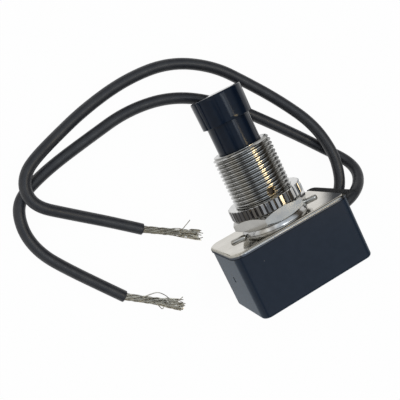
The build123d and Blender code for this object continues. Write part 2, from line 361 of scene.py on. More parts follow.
class MaterialBoard(NodeBoard):
    """The board of a material, with a shader that reaches its output."""

    def __init__(self, name: str) -> None:
        """Start a material.

        Args:
            name: The material's name.
        """
        self.material = bpy.data.materials.new(name)
        self.material.use_nodes = True
        self.material.node_tree.nodes.clear()
        super().__init__(self.material.node_tree, "Object")
        self.shader = self.node("BsdfPrincipled")
        self.output = self.node("OutputMaterial", {"Surface": self.shader.outputs["BSDF"]})


@dataclass(frozen=True)
class Finish:
    """A surface with two-tone blotches, uneven gloss, a fine grain and, on some kinds, stains or painted
    shade.

    Attributes:
        name: The material's name.
        dark: The darker tone.
        light: The lighter tone.
        blotch: Size of the blotches.
        gloss: Lowest and highest roughness.
        grain: Size of the grain.
        grain_depth: Depth of the grain.
        wave: Size of the slow waviness.
        wave_depth: Depth of the waviness, or 0 for none.
        metallic: Share of metal.
        specular: Strength of the surface reflection.
        skin: Strength of a glossy moulded skin over the surface.
        skin_gloss: Roughness of that skin.
        haze: Strength of a thin haze that shows where the surface is seen from low down.
        haze_tint: Colour of the haze.
        stain_and_shade: Colour of the stains, which on grooved metal are painted shade.
        stain_and_shade_span: Levels of their field between which they come or go.
        stain_and_shade_share: How much of their colour there is at each of them.
        TONE_SPAN: Noise levels of the two tones.
        GLOSS_SPAN: Noise levels of the two roughnesses.
        GLOSS_BLOTCH: Size of the blotches of gloss, as a share of the tones'.
    """

    name: str
    dark: Colour
    light: Colour
    blotch: float = 1.0
    gloss: Span = (0.3, 0.45)
    grain: float = 0.12
    grain_depth: float = 0.003
    wave: float = 3.0
    wave_depth: float = 0.0
    metallic: float = 0.0
    specular: float = 0.5
    skin: float = 0.0
    skin_gloss: float = 0.12
    haze: float = 0.0
    haze_tint: Colour = (0.40, 0.72, 1.0)
    stain_and_shade: Colour = (0.0, 0.0, 0.0)
    stain_and_shade_span: Span = (0.0, 1.0)
    stain_and_shade_share: Span = (0.0, 1.0)
    TONE_SPAN: ClassVar[Span] = (0.36, 0.64)
    GLOSS_SPAN: ClassVar[Span] = (0.3, 0.7)
    GLOSS_BLOTCH: ClassVar[float] = 0.6

    def stain_and_shade_field(self, board: NodeBoard) -> Socket | None:
        """Give the field that the stains or the painted shade follow, or none for neither."""
        return None

    def tone(self, board: NodeBoard) -> Socket:
        """Give the surface colour from slow and fine blotches and the stains or painted shade.

        Args:
            board: The board to draw on.

        Returns:
            The colour.
        """
        plain = board.ramp(board.noise(self.blotch, detail=5.0), self.TONE_SPAN, (self.dark, self.light))
        marked = self.stain_and_shade_field(board)
        if marked is None:
            return plain
        return board.blend(board.spread(marked, self.stain_and_shade_span, self.stain_and_shade_share), plain, self.stain_and_shade)

    def relief(self, board: NodeBoard) -> Socket:
        """Give the normal with the grain and the waviness.

        Args:
            board: The board to draw on.

        Returns:
            The normal.
        """
        fine = board.bump(board.noise(self.grain, detail=2.0), self.grain_depth)
        if not self.wave_depth:
            return fine
        return board.bump(board.noise(self.wave, detail=1.0), self.wave_depth, fine)

    def dullness(self, board: NodeBoard) -> Socket:
        """Give the uneven roughness."""
        patches = board.noise(self.blotch * self.GLOSS_BLOTCH, detail=4.0)
        return board.spread(patches, self.GLOSS_SPAN, self.gloss)

    def metal(self, board: NodeBoard) -> Socket | float:
        """Give the share of metal."""
        return self.metallic

    def material(self) -> bpy.types.Material:
        """Make the material, or give it again if it is made already.

        Returns:
            The material.
        """
        made = bpy.data.materials.get(self.name)
        if made is not None:
            return made
        board = MaterialBoard(self.name)
        board.fill(board.shader, {
            "Base Color": self.tone(board), "Metallic": self.metal(board), "Normal": self.relief(board),
            "Roughness": self.dullness(board), "Specular IOR Level": self.specular,
            "Coat Weight": self.skin, "Coat Roughness": self.skin_gloss,
            "Sheen Weight": self.haze, "Sheen Tint": self.haze_tint})
        return board.material

    def dress(self, piece: Piece) -> None:
        """Put the finish on every slot of a piece.

        Args:
            piece: The piece.
        """
        material = self.material()
        if not piece.material_slots:
            piece.data.materials.append(material)
        for slot in piece.material_slots:
            slot.link = "OBJECT"
            slot.material = material


@dataclass(frozen=True)
class DustyPlastic(Finish):
    """A moulded plastic with a few light specks of dust, at a mean distance of speck_gap."""

    stain_and_shade: Colour = (0.22, 0.22, 0.21)
    stain_and_shade_span: Span = (0.01, 0.02)
    stain_and_shade_share: Span = (0.8, 0.0)
    speck_gap: float = 5.0

    def stain_and_shade_field(self, board: NodeBoard) -> Socket:
        """Give the distance from the nearest speck."""
        return board.spots(self.speck_gap)


@dataclass(frozen=True)
class DrawnPlastic(Finish):
    """A plastic with faint scratches or draw lines along one direction, which are worn in places.

    Attributes:
        line_scale: How much each axis is squeezed for the lines.
        line_size: Width of a line.
        line_depth: Depth of a line.
        WORN_LINES: Width of a worn place, in lines.
    """

    stain_and_shade_share: Span = (0.0, 0.7)
    line_scale: Point = (1.0, 0.1, 1.0)
    line_size: float = 0.15
    line_depth: float = 0.002
    WORN_LINES: ClassVar[float] = 3.0

    def stain_and_shade_field(self, board: NodeBoard) -> Socket:
        """Give the noise that wears the lines."""
        stretched = board.stretched(self.line_scale)
        return board.noise(self.line_size * self.WORN_LINES, detail=4.0, coords=stretched)

    def relief(self, board: NodeBoard) -> Socket:
        """Give the grain with the lines over it."""
        lines = board.noise(self.line_size, detail=3.0, coords=board.stretched(self.line_scale))
        return board.bump(lines, self.line_depth, Finish.relief(self, board))


@dataclass(frozen=True)
class GrooveShadedMetal(Finish):
    """A plated metal with painted shade in its grooves, whose depth is the mesh attribute of that name.
    """

    stain_and_shade_span: Span = (0.05, 0.75)
    ATTRIBUTE: ClassVar[str] = "groove"

    def stain_and_shade_field(self, board: NodeBoard) -> Socket:
        """Give the depth in the grooves, which sets the painted shade."""
        return board.attribute(self.ATTRIBUTE)


@dataclass(frozen=True)
class SheetMetal(Finish):
    """A plated sheet whose sheared rim is darker and duller than its faces.

    Attributes:
        rim: Colour of the rim.
        rim_gloss: Roughness of the rim.
        rim_span: How squarely the surface faces the button where it is quite rim and no longer rim.
        end_span: How squarely the rim faces an end where it begins to dull and is quite dull.
        seam_shadow: Colour of the painted contact shadow in the joint under the rim.
        seam_shadow_span: Where along the button's axis that painted shadow thins out and ends.
        painted_dark: Colour the sheet is painted in the corner by the leads, a painted dark reflection
            of them.
        painted_dark_way: Direction in X and Z in which that painted reflection darkens.
        painted_dark_span: How far that way it sets in and is full.
        painted_dark_share: How much of that colour it then has.
        flat_span: How squarely the sheet faces the button where the painted reflection begins and is
            full.
    """

    rim: Colour = (0.088, 0.098, 0.118)
    rim_gloss: float = 0.20
    rim_span: Span = (0.05, 0.45)
    end_span: Span = (0.35, 0.80)
    seam_shadow: Colour = (0.010, 0.010, 0.012)
    seam_shadow_span: Span = (-7.70, -7.58)
    painted_dark: Colour = (0.060, 0.066, 0.077)
    painted_dark_way: tuple[float, float] = (0.856, 0.515)
    painted_dark_span: Span = (13.1, 16.8)
    painted_dark_share: float = 0.95
    flat_span: Span = (0.75, 0.97)

    def rim_share(self, board: NodeBoard) -> Socket:
        """Give 1 where the surface turns away from the button's axis, which the rim does."""
        return board.facing("Y", self.rim_span, (1.0, 0.0))

    def tone(self, board: NodeBoard) -> Socket:
        """Give the blotches with the painted dark reflection and the darker rim."""
        # The corner by the leads is painted dark, a painted reflection of the dark leads.
        worn = board.blend(self.reflection_share(board), Finish.tone(self, board), self.painted_dark)
        return board.blend(self.rim_share(board), worn, self.rim_tone(board))

    def rim_tone(self, board: NodeBoard) -> Socket:
        """Give the rim's colour with the painted contact shadow in the joint under it.

        Args:
            board: The board to draw on.

        Returns:
            The colour.
        """
        # The lowest part of the rim is darkened: a painted contact shadow where the plate meets the
        # housing.
        low, high = (place * MM for place in self.seam_shadow_span)
        painted_shadow = board.spread(board.axis(board.place, "Y"), (low, high), (1.0, 0.0), eased=True)
        return board.blend(painted_shadow, self.rim, self.seam_shadow)

    def reflection_share(self, board: NodeBoard) -> Socket:
        """Give the painted reflection's share: on the flat of one corner, not on its rounded edge.

        Args:
            board: The board to draw on.

        Returns:
            The share.
        """
        low, high = (place * MM for place in self.painted_dark_span)
        x, z = (board.reckon("MULTIPLY", board.axis(board.place, name), factor)
                for name, factor in zip("XZ", self.painted_dark_way))
        far = board.reckon("ADD", x, z)
        corner = board.spread(far, (low, high), (0.0, self.painted_dark_share), eased=True)
        return board.reckon("MULTIPLY", corner, board.facing("Y", self.flat_span, (0.0, 1.0)))

    def metal(self, board: NodeBoard) -> Socket:
        """Give the share of metal, which the painted dark reflection covers and the dull end rims lack.
        """
        bright = board.facing("X", self.end_span, (self.metallic, 0.0))
        return board.reckon("SUBTRACT", bright, self.reflection_share(board))

    def dullness(self, board: NodeBoard) -> Socket:
        """Give the uneven roughness, duller on the rim."""
        extra = board.reckon("MULTIPLY", self.rim_share(board), self.rim_gloss)
        return board.reckon("MAXIMUM", Finish.dullness(self, board), extra)


@dataclass(frozen=True)
class TinnedWire(Finish):
    """A tinned strand with patches where the copper shows."""

    stain_and_shade: Colour = (0.52, 0.40, 0.25)
    stain_and_shade_span: Span = (0.6, 0.7)
    stain_and_shade_share: Span = (0.0, 0.45)
    patch: float = 0.9

    def stain_and_shade_field(self, board: NodeBoard) -> Socket:
        """Give the noise that bares the copper."""
        return board.noise(self.patch, detail=2.0)


HOUSING_FINISH = DustyPlastic(
    "housing_moulding", (0.0104, 0.0168, 0.0300), (0.0122, 0.0190, 0.0332), blotch=1.4,
    gloss=(0.30, 0.40), grain=0.14, grain_depth=0.00022, specular=0.0,
    skin=0.36, skin_gloss=0.16, haze=0.13)
BUTTON_FINISH = DrawnPlastic(
    "button_moulding", (0.0018, 0.0064, 0.0160), (0.0028, 0.0082, 0.0195), blotch=1.2,
    gloss=(0.09, 0.15), grain=0.2, grain_depth=0.0002, line_depth=0.0002, specular=0.17,
    stain_and_shade=(0.016, 0.019, 0.026), stain_and_shade_span=(0.7, 0.82))
PLATE_FINISH = SheetMetal(
    "nickel_sheet", (0.50, 0.478, 0.425), (0.58, 0.558, 0.505), blotch=2.5, gloss=(0.07, 0.14),
    grain=0.25, grain_depth=0.0001, wave=4.0, wave_depth=0.0005, metallic=1.0, specular=0.0)
TAB_FINISH = Finish(
    "nickel_tab", (0.32, 0.31, 0.285), (0.42, 0.41, 0.38), blotch=0.8, gloss=(0.12, 0.20), grain=0.2,
    grain_depth=0.0005, metallic=1.0)
# The thread's roots are painted darker: painted shade that deepens with the groove's depth.
THREAD_FINISH = GrooveShadedMetal(
    "nickel_thread", (0.40, 0.40, 0.395), (0.50, 0.50, 0.49), blotch=1.0, gloss=(0.14, 0.24), grain=0.1,
    grain_depth=0.0006, metallic=1.0, stain_and_shade=(0.22, 0.218, 0.205), stain_and_shade_share=(0.0, 0.9))
NUT_FINISH = Finish(
    "nickel_nut", (0.375, 0.37, 0.355), (0.415, 0.41, 0.39), blotch=2.2, gloss=(0.08, 0.14), grain=0.2,
    grain_depth=0.0004, metallic=1.0)
# The ring's dark colour is painted shade in the flutes and a painted reflection on the lands.
RING_FINISH = GrooveShadedMetal(
    "nickel_ring", (0.50, 0.50, 0.495), (0.60, 0.60, 0.585), blotch=0.8, gloss=(0.08, 0.16), grain=0.2,
    grain_depth=0.0004, metallic=1.0, stain_and_shade=(0.016, 0.013, 0.012), stain_and_shade_span=(0.0, 1.0),
    stain_and_shade_share=(0.0, 0.97))
# A dark sheet standing in for the plate end's dark reflection of the leads.
DARK_SHEET_FINISH = DustyPlastic(
    "dark_end_sheet", (0.022, 0.023, 0.025), (0.036, 0.036, 0.037), blotch=0.8, gloss=(0.72, 0.88),
    grain=0.16, grain_depth=0.004, specular=0.08, speck_gap=3.0)
BRASS_FINISH = Finish(
    "bared_brass", (0.27, 0.22, 0.145), (0.40, 0.335, 0.235), blotch=0.3, gloss=(0.2, 0.34), grain=0.08,
    grain_depth=0.001, metallic=1.0)
# The side hole's floor is a dull dark brown: painted shade at the bottom of the hole.
HOLE_FLOOR_SHADE_FINISH = Finish(
    "hole_floor_shade", (0.085, 0.066, 0.052), (0.135, 0.106, 0.082), blotch=0.3, gloss=(0.6, 0.8), grain=0.08,
    grain_depth=0.002, specular=0.2)
LEAD_FINISH = DrawnPlastic(
    "lead_sleeve", (0.0168, 0.0184, 0.0235), (0.0265, 0.0280, 0.0318), blotch=2.0, gloss=(0.34, 0.46),
    grain=0.2, wave=2.4, wave_depth=0.008, line_scale=(0.4, 0.4, 1.0), line_size=0.4,
    stain_and_shade=(0.040, 0.038, 0.034), stain_and_shade_span=(0.64, 0.76), specular=0.4)
STRAND_FINISH = TinnedWire(
    "tinned_strand", (0.42, 0.400, 0.345), (0.66, 0.63, 0.53), blotch=0.5, gloss=(0.18, 0.30), grain=0.1,
    grain_depth=0.001, metallic=1.0)
SPRING_FINISH = Finish(
    "spring_steel", (0.38, 0.37, 0.36), (0.52, 0.51, 0.49), blotch=0.6, gloss=(0.2, 0.35), grain=0.08,
    grain_depth=0.001, metallic=1.0)
CONTACT_FINISH = Finish(
    "contact_brass", (0.62, 0.44, 0.19), (0.74, 0.55, 0.27), blotch=0.8, gloss=(0.2, 0.36), grain=0.1,
    grain_depth=0.001, metallic=1.0)
ROTOR_FINISH = Finish("rotor_moulding", (0.55, 0.53, 0.47), (0.66, 0.64, 0.58), gloss=(0.35, 0.5))
CARD_FINISH = Finish(
    "fibre_card", (0.012, 0.012, 0.013), (0.024, 0.023, 0.022), blotch=0.5, gloss=(0.6, 0.8), grain=0.15,
    grain_depth=0.01)


def dress_node(node: str, finish: Finish) -> None:
    """Put a finish on a piece that keeps its CAD form."""
    finish.dress(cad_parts[node])
    LOG.info("%s dressed", node)


def settle(piece: Piece, finish: Finish, body: Body, slot: Slot, *nodes: str) -> Piece:
    """Dress a new piece and seat it on its body in place of CAD nodes.

    Args:
        piece: The piece, already in place.
        finish: Its finish.
        body: The body that it rides on.
        slot: The slot for its finish; not used.
        nodes: The CAD nodes that it stands for.

    Returns:
        The same piece.
    """
    finish.dress(piece)
    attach(piece, body.value)
    if nodes:
        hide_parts(*nodes)
    LOG.info("%s rides on %s with %d faces", piece.name, body.value, len(piece.data.polygons))
    return piece


@dataclass
class Housing:
    """The moulded cup, which keeps its CAD form."""

    node: str = "housing"

    def build(self) -> None:
        """Put the moulded finish on the cup."""
        dress_node(self.node, HOUSING_FINISH)


@dataclass
class PlateTab:
    """A tab that clinches the plate: a barbed strip in the housing, and a twisted head over its slot."""

    node: str
    side: int
    from_axis: float = 8.45
    seat: float = -6.75
    overlap: float = 0.1
    twist: float = math.radians(17.0)
    head_length: float = 3.3
    head_width: float = 1.15
    dome: Profile = ((0.0, 0.0), (0.22, 0.0), (0.36, 0.05), (0.48, 0.15), (0.56, 0.29), (0.60, 0.46))
    arc_steps: int = 12
    strip_width: float = 2.4
    strip_thickness: float = 0.5
    strip_low: float = -14.75
    barb_end: float = 12.4
    barb: Span = (-13.8, -12.7)

    def outline(self, inset: float) -> list[Span]:
        """Draw the head's rounded outline.

        Args:
            inset: How far inside the full outline.

        Returns:
            Places along and across the head.
        """
        reach = (self.head_length - self.head_width) / 2.0
        radius = self.head_width / 2.0 - inset
        corners = []
        for end in (1.0, -1.0):
            for k in range(self.arc_steps + 1):
                angle = math.pi * k / self.arc_steps - math.pi / 2.0
                along, across = reach + radius * math.cos(angle), radius * math.sin(angle)
                corners.append((end * along, end * across))
        return corners

    def add_bar(self, draft: Draft, x_span: Span, y_span: Span) -> None:
        """Draw a bar of the strip's thickness.

        Args:
            draft: The mesh to draw into.
            x_span: Where it starts and ends from the axis.
            y_span: Where it starts and ends along the axis.
        """
        half = self.strip_thickness / 2.0
        low, high = x_span
        corners = ((low, -half), (high, -half), (high, half), (low, half))
        draft.add_rings([[Vector((self.side * x, y, AXIS_HEIGHT + z)) for x, z in corners]
                         for y in y_span], close_ends=True)

    def build(self) -> None:
        """Make the tab."""
        draft = Draft()
        cos, sin = math.cos(self.twist), math.sin(self.twist)
        middle = self.side * self.from_axis
        rings = [[Vector((middle + u * cos - v * sin, self.seat + rise, AXIS_HEIGHT + u * sin + v * cos))
                  for u, v in self.outline(inset)] for rise, inset in self.dome]
        draft.add_rings(rings, close_ends=True)
        half = self.strip_width / 2.0
        self.add_bar(draft, (self.from_axis - half, self.from_axis + half),
                     (self.strip_low, self.seat + self.overlap))
        self.add_bar(draft, (self.from_axis, self.barb_end), self.barb)
        piece = draft.to_object(self.node + "_clinched", Crease.SOFT)
        settle(piece, TAB_FINISH, Body.BASE, Slot.PLATE, self.node)


@dataclass
class CoverPlate:
    """The pressed plate with the two tabs that clinch it."""

    node: str = "mounting_plate"
    tabs: tuple[PlateTab, PlateTab] = (PlateTab("plate_tab_left", -1), PlateTab("plate_tab_right", 1))

    def build(self) -> None:
        """Put the nickel finish on the plate and make its tabs."""
        dress_node(self.node, PLATE_FINISH)
        for tab in self.tabs:
            tab.build()


@dataclass
class PlateEndDarkSheet:
    """A dark sheet over the plate's end, bent down where the leads come out, standing in for their dark
    reflection.
    """

    back: float = 0.35
    front: float = 17.35
    corner: float = 2.6
    thickness: float = 0.25
    line: Profile = ((11.9, -6.72), (12.6, -6.71), (13.15, -6.75), (13.6, -6.87), (14.0, -7.05),
                     (14.4, -7.28), (14.75, -7.52), (15.0, -7.70), (15.15, -7.82))
    steps: int = 26

    def half_width(self, along: float) -> float:
        """Give half the hood's width at a place along the plate, less at its rounded outer corners."""
        past = max(0.0, along - (self.line[-1][0] - self.corner))
        return ((self.front - self.back) / 2.0
                - (self.corner - math.sqrt(max(0.0, self.corner ** 2 - past ** 2))))

    def build(self) -> None:
        """Make the hood."""
        middle = (self.front + self.back) / 2.0
        across = [2.0 * k / self.steps - 1.0 for k in range(self.steps + 1)]
        under = [(x, y - self.thickness) for x, y in reversed(self.line)]
        draft = Draft()
        draft.add_sheet([[Vector((x, y, middle + self.half_width(x) * share)) for share in across]
                         for x, y in (*self.line, *under)])
        settle(draft.to_object("plate_end_dark_sheet", Crease.SOFT), DARK_SHEET_FINISH, Body.BASE, Slot.LEAD)


@dataclass
class ThreadedBushing:
    """The turned bushing with its rolled thread and a drilled side hole."""

    crest: float = 5.95
    root: float = 5.5
    pitch: float = 0.79375
    engaged: float = 5.69
    nuts_end: float = -1.15
    free_span: Span = (-0.15, 0.02)
    start: float = -5.65
    start_slope: float = 2.0
    end: float = 9.45
    end_margin: float = 0.02
    spare_turns: float = 3.0
    bore: float = 4.40
    bore_lead_in: float = 0.15
    wall: float = 0.6
    steps: int = 144
    hole_along: float = -0.2
    hole_radius: float = 0.6
    hole_sides: int = 32
    hole_floor: float = 4.75
    floor_margin: float = 0.05
    sink_radius: float = 1.02
    sink_depth: float = 0.34
    sink_margin: float = 0.04
    cutter_flare: float = 0.3
    cutter_rise: float = 0.4
    flange: Profile = ((6.86, -6.75), (6.93, -6.72), (6.95, -6.64),
                       (6.43, -5.76), (6.38, -5.68), (6.30, -5.65))
    spigot: Profile = ((5.60, -8.35), (5.60, -8.05), (5.20, -8.05), (5.20, -6.75))
    shape: Profile = ((0.0, 1.0), (0.09, 1.0), (0.20, 0.70), (0.31, 0.35), (0.42, 0.0),
                      (0.50, 0.0), (0.58, 0.0), (0.69, 0.35), (0.80, 0.70), (0.91, 1.0))

    @property
    def depth(self) -> float:
        """Give the depth of the thread."""
        return self.crest - self.root

    def limit(self, along: float) -> float:
        """Give the largest radius of the thread at a place.

        Args:
            along: The place along the axis.

        Returns:
            The radius.
        """
        low, high = (self.nuts_end + place for place in self.free_span)
        free = smooth_step(low, high, along)
        inner = min(self.engaged, self.root + self.start_slope * max(0.0, along - self.start))
        top = self.root + max(0.0, self.end - along)
        return min(inner + free * (self.crest - inner), top)

    def thread(self, draft: Draft) -> None:
        """Draw the thread as rows that follow its helix.

        Args:
            draft: The mesh to draw into.
        """
        first = len(draft.points)
        stations = int((self.end - self.start) / self.pitch + self.spare_turns) * self.steps
        width = len(self.shape)
        for s in range(stations):
            base = self.start + self.pitch * (s / self.steps - 1.0)
            for share, fall in self.shape:
                along = min(self.end, max(self.start, base + share * self.pitch))
                radius = min(self.crest - self.depth * fall, self.limit(along))
                draft.points.append(on_axis(radius, along, math.tau * s / self.steps))
        for s in range(stations - self.steps - 1):
            for j in range(width):
                a, b = first + s * width + j, first + (s + 1) * width + j
                over = 1 if j + 1 < width else self.steps * width - width + 1
                draft.faces.append((a, b, b + over, a + over))

    def drill(self, piece: Piece) -> None:
        """Cut the side hole with its countersink.

        Args:
            piece: The bushing.
        """
        levels = ((self.hole_radius, self.hole_floor), (self.hole_radius, self.crest - self.sink_depth),
                  (self.sink_radius, self.crest),
                  (self.sink_radius + self.cutter_flare, self.crest + self.cutter_rise))
        cutter = Draft()
        cutter.add_rings([[Vector((radius * math.cos(turn), self.hole_along + radius * math.sin(turn),
                                   AXIS_HEIGHT + height)) for turn in turns(self.hole_sides)]
                          for radius, height in levels], close_ends=True)
        tool = cutter.to_object("side_hole_cutter", Crease.SOFT)
        cut = piece.modifiers.new("side_hole", "BOOLEAN")
        cut.object = tool
        cut.solver = "EXACT"
        graph = bpy.context.evaluated_depsgraph_get()
        mesh = bpy.data.meshes.new_from_object(piece.evaluated_get(graph))
        piece.modifiers.clear()
        piece.data = mesh
        bpy.data.objects.remove(tool)

    def bare_hole(self, piece: Piece) -> None:
        """Put bare brass on the walls of the side hole, where the plating is cut, and painted shade on
        its floor.

        Args:
            piece: The dressed bushing.
        """
        wall_slot, floor_slot = 1, 2
        for finish in (BRASS_FINISH, HOLE_FLOOR_SHADE_FINISH):
            piece.data.materials.append(finish.material())
        for face in piece.data.polygons:
            x, y, z = face.center / MM
            height = z - AXIS_HEIGHT
            in_hole = math.hypot(x, y - self.hole_along) < self.sink_radius + self.sink_margin
            if in_hole and height > self.hole_floor - self.floor_margin:
                on_wall = height > self.hole_floor + self.floor_margin
                face.material_index = wall_slot if on_wall else floor_slot

    def mark_grooves(self, piece: Piece) -> None:
        """Store how deep each point lies in the thread, for the painted shade in its grooves.

        Args:
            piece: The bushing.
        """
        marks = piece.data.attributes.new(GrooveShadedMetal.ATTRIBUTE, "FLOAT", "POINT")
        for vertex, mark in zip(piece.data.vertices, marks.data):
            x, y, z = vertex.co / MM
            radius = math.hypot(x, z - AXIS_HEIGHT)
            on_thread = self.start < y < self.end - self.end_margin and radius > self.bore + self.wall
            mark.value = min(1.0, max(0.0, (self.crest - radius) / self.depth)) if on_thread else 0.0

    def build(self) -> None:
        """Make the bushing."""
        draft = Draft()
        self.thread(draft)
        lead_in = self.bore_lead_in
        profile = [(self.root, self.end), (self.bore + lead_in, self.end),
                   (self.bore, self.end - lead_in), (self.bore, self.spigot[0][1]),
                   *self.spigot, *self.flange, (self.root, self.start)]
        draft.add_rings([[on_axis(radius, along, turn) for turn in turns(self.steps)]
                         for radius, along in profile])
        piece = draft.to_object("bushing_thread", Crease.SOFT)
        self.drill(piece)
        shade(piece, Crease.SOFT)
        self.mark_grooves(piece)
        settle(piece, THREAD_FINISH, Body.BASE, Slot.THREAD, "threaded_bushing")
        self.bare_hole(piece)


@dataclass
class BackNut:
    """The hexagonal back nut, chamfered on both faces."""

    across_flats: float = 14.3
    bore: float = 5.70
    low: float = -5.65
    high: float = -3.25
    face_inset: float = 0.10
    chamfer_rise: float = 0.70
    sides: int = 6
    side_steps: int = 18

    def build(self) -> None:
        """Make the nut with its lens-shaped flats."""
        half = self.across_flats / 2.0
        face = half - self.face_inset
        half_side = math.pi / self.sides
        slope = self.chamfer_rise / (half / math.cos(half_side) - face)
        sections: Rings = []
        for turn in turns(self.sides * self.side_steps):
            radius = half / math.cos((turn + half_side) % (math.tau / self.sides) - half_side)
            rise = slope * (radius - face)
            corners = ((self.bore, self.low), (face, self.low), (radius, self.low + rise),
                       (radius, self.high - rise), (face, self.high), (self.bore, self.high))
            sections.append([on_axis(r, y, turn) for r, y in corners])
        draft = Draft()
        draft.add_sections(sections)
        settle(draft.to_object("back_nut", Crease.CRISP), NUT_FINISH, Body.BASE, Slot.NUT, "hex_nut")


@dataclass
class RingNut:
    """The fluted ring nut, with narrow flutes between flat lands that each lean a little.

    Attributes:
        flute_shares: Corners of a flute, as shares of half its angle.
        land_shares: Corners of a land, likewise.
        land_gap: Where a land starts, as a share of half a flute's angle.
        flute_shade_share: How far the painted shade in a flute reaches, as a share of half a flute's
            angle.
        highlight_turns: Where the lands are left bright as a painted highlight, in degrees.
        highlight_span: How far from there that painted highlight ends.
        left_dark_turns: Where the lands on the left are painted darker, in degrees the other way round.
        painted_dark: Least, most and likeliest painted darkening of a land, a painted reflection.
    """

    radius: float = 7.6
    bore: float = 5.70
    wall: float = 0.5
    low: float = -3.25
    high: float = -1.15
    face_margin: float = 0.05
    chamfer: float = 0.12
    bore_chamfer: float = 0.3
    flutes: int = 48
    flute_radius: float = 0.22
    flute_depth: float = 0.20
    flute_shares: tuple[float, ...] = (-0.85, -0.5, 0.0, 0.5, 0.85)
    land_shares: tuple[float, ...] = (-1.0, -0.5, 0.0, 0.5, 1.0)
    land_gap: float = 1.02
    lean: float = math.radians(7.5)
    flute_shade_share: float = 0.55
    highlight_turns: tuple[float, ...] = (-25.0, 30.0)
    highlight_span: Span = (2.0, 9.0)
    left_dark_turns: Span = (28.0, 55.0)
    left_dark_extra: float = 0.45
    painted_dark: tuple[float, float, float] = (0.05, 0.85, 0.50)
    most_painted_dark: float = 0.93
    seed: int = 5

    @property
    def flute_centre(self) -> float:
        """Give how far a flute's centre lies from the axis."""
        return self.radius + self.flute_radius - self.flute_depth

    def flute_edge(self) -> float:
        """Give half the angle that a flute takes, in radians."""
        centre, radius = self.flute_centre, self.radius
        return math.acos((centre ** 2 + radius ** 2 - self.flute_radius ** 2) / (2.0 * centre * radius))

    def sector(self, lean: float) -> list[Span]:
        """Draw one flute and the land after it.

        Args:
            lean: How far the land is turned from square, in radians.

        Returns:
            Angle from the flute's middle, and radius, of each corner.
        """
        step, edge, centre = math.tau / self.flutes, self.flute_edge(), self.flute_centre
        corners = []
        for angle in (share * edge for share in self.flute_shares):
            reach = self.flute_radius ** 2 - (centre * math.sin(angle)) ** 2
            corners.append((angle, centre * math.cos(angle) - math.sqrt(reach)))
        half = step / 2.0 - edge * self.land_gap
        face = self.radius * math.cos(half + abs(lean))
        for angle in (share * half for share in self.land_shares):
            corners.append((step / 2.0 + angle, face / math.cos(angle - lean)))
        return corners

    def land_painted_dark(self) -> list[float]:
        """Give how dark each land is painted, a painted reflection, from 0 for one left bright.

        Returns:
            One value for each land.
        """
        chance = random.Random(self.seed + 1)
        values = []
        for land in range(self.flutes):
            turn = 360.0 * (land + 0.5) / self.flutes
            off = min(abs((turn - bright + 180.0) % 360.0 - 180.0) for bright in self.highlight_turns)
            # Lands on the left are painted darker and lands near the highlight turns are left bright: a
            # painted reflection.
            dull = self.left_dark_extra * smooth_step(*self.left_dark_turns, 360.0 - turn) * (turn > 180.0)
            own = chance.triangular(*self.painted_dark) + dull
            values.append(min(self.most_painted_dark, own) * smooth_step(*self.highlight_span, off))
        return values

    def mark_flutes(self, piece: Piece) -> None:
        """Store how dark each point is painted: the flutes get full painted shade, and each land its own
        painted reflection.

        Args:
            piece: The nut.
        """
        painted_dark = self.land_painted_dark()
        shaded = self.flute_shade_share * self.flute_edge() * self.flutes / math.tau
        low, high = self.low + self.face_margin, self.high - self.face_margin
        marks = piece.data.attributes.new(GrooveShadedMetal.ATTRIBUTE, "FLOAT", "POINT")
        for vertex, mark in zip(piece.data.vertices, marks.data):
            x, y, z = vertex.co / MM
            place = math.atan2(x, z - AXIS_HEIGHT) / math.tau * self.flutes
            if not low < y < high or math.hypot(x, z - AXIS_HEIGHT) < self.bore + self.wall:
                mark.value = 0.0
            # Flutes get full painted shade.
            elif abs(place - round(place)) < shaded:
                mark.value = 1.0
            else:
                mark.value = painted_dark[math.floor(place) % self.flutes]

    def section(self, radius: float, turn: float) -> list[Vector]:
        """Draw the nut's section at an angle.

        Args:
            radius: The outer radius there.
            turn: The angle.

        Returns:
            The corners, once round.
        """
        edge, lead_in = self.chamfer, self.bore_chamfer
        face = self.radius - self.flute_depth - edge
        corners = ((self.bore, self.low), (face, self.low), (radius - edge, self.low),
                   (radius, self.low + edge), (radius, self.high - edge), (radius - edge, self.high),
                   (face, self.high), (self.bore + lead_in, self.high),
                   (self.bore, self.high - lead_in), (self.bore, self.low + lead_in))
        return [on_axis(r, y, turn) for r, y in corners]

    def build(self) -> None:
        """Make the nut."""
        chance = random.Random(self.seed)
        draft = Draft()
        draft.add_sections([self.section(radius, start + angle) for start in turns(self.flutes)
                            for angle, radius in self.sector(chance.uniform(-self.lean, self.lean))])
        piece = draft.to_object("ring_nut_fluted", Crease.CRISP)
        self.mark_flutes(piece)
        settle(piece, RING_FINISH, Body.BASE, Slot.NUT, "ring_nut")


